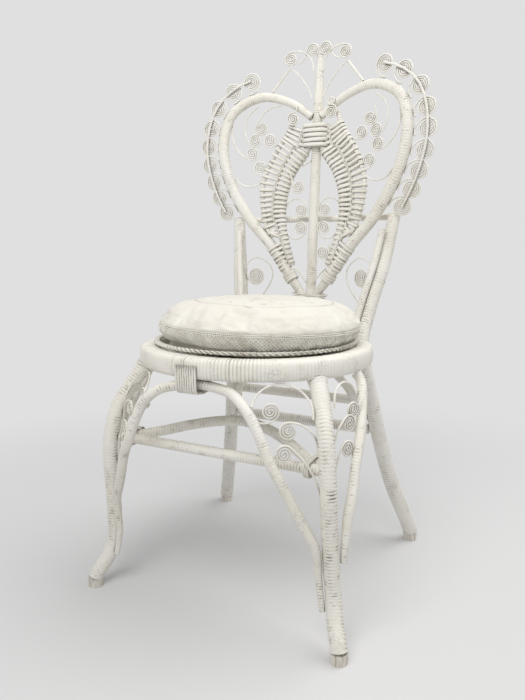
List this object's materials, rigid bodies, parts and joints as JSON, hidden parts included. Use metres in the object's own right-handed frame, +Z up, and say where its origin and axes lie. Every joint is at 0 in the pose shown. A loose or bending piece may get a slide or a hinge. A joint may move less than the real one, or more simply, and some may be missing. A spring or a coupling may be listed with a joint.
{
  "type": "wicker side chair",
  "caption": "Painted wicker side chair with a heart-shaped scrolled back, round seat, loose cushion and curled reed trim.",
  "frame": {"origin": "on the floor, under the middle of the chair's box: midway between the left and right feet, and within 3 mm of midway from front to back", "axes": "+X to the right as seen from the front, +Y to the back, +Z up"},
  "size_m": [0.5262, 0.5138, 1.0499],
  "materials": {
    "cane": "matt, flaking off-white paint",
    "reed": "matt, off-white paint with dirt in the grooves",
    "lattice": "matt, off-white paint",
    "bare_foot": "worn",
    "cushion_fabric": "matt",
    "lace": "matt"
  },
  "bodies": {
    "root": {"front_leg_left": "cane", "front_leg_right": "cane", "rear_post_left": "cane", "rear_post_right": "cane", "foot_tips": "bare_foot", "seat_hoop": "cane", "seat_panel": "lattice", "seat_braid": "lattice", "cushion": "cushion_fabric", "cushion_lace": "lace", "front_arch": "cane", "rear_arch": "cane", "side_brace_left": "cane", "side_brace_right": "cane", "front_bar": "cane", "bow_stretcher": "cane", "rear_bar": "cane", "rear_rail": "cane", "bar_bindings": "cane", "arch_binding": "cane", "centre_post": "cane", "heart_left": "cane", "heart_right": "cane", "upright_rod_left": "cane", "upright_rod_right": "cane", "cross_bar": "cane", "centre_binding": "cane", "foot_binding": "cane", "lens_binding_left": "cane", "lens_binding_right": "cane", "lens_inner_left": "lattice", "lens_inner_right": "lattice", "lens_rim_left": "lattice", "lens_rim_right": "lattice", "lens_middle_left": "lattice", "lens_middle_right": "lattice", "chain_spine_left": "reed", "chain_spine_right": "reed", "chain_scrolls_left": "reed", "chain_scrolls_right": "reed", "finial_scrolls": "reed", "finial_reeds": "reed", "finial_rods": "reed", "lobe_scrolls_left": "reed", "lobe_scrolls_right": "reed", "lobe_reeds_left": "reed", "lobe_reeds_right": "reed", "lens_scrolls": "reed", "lens_reeds": "reed", "skirt_scrolls": "reed", "skirt_reeds": "reed", "front_leg_scrolls": "reed", "side_leg_scrolls": "reed", "hood_reeds": "reed"}
  },
  "joints": []
}
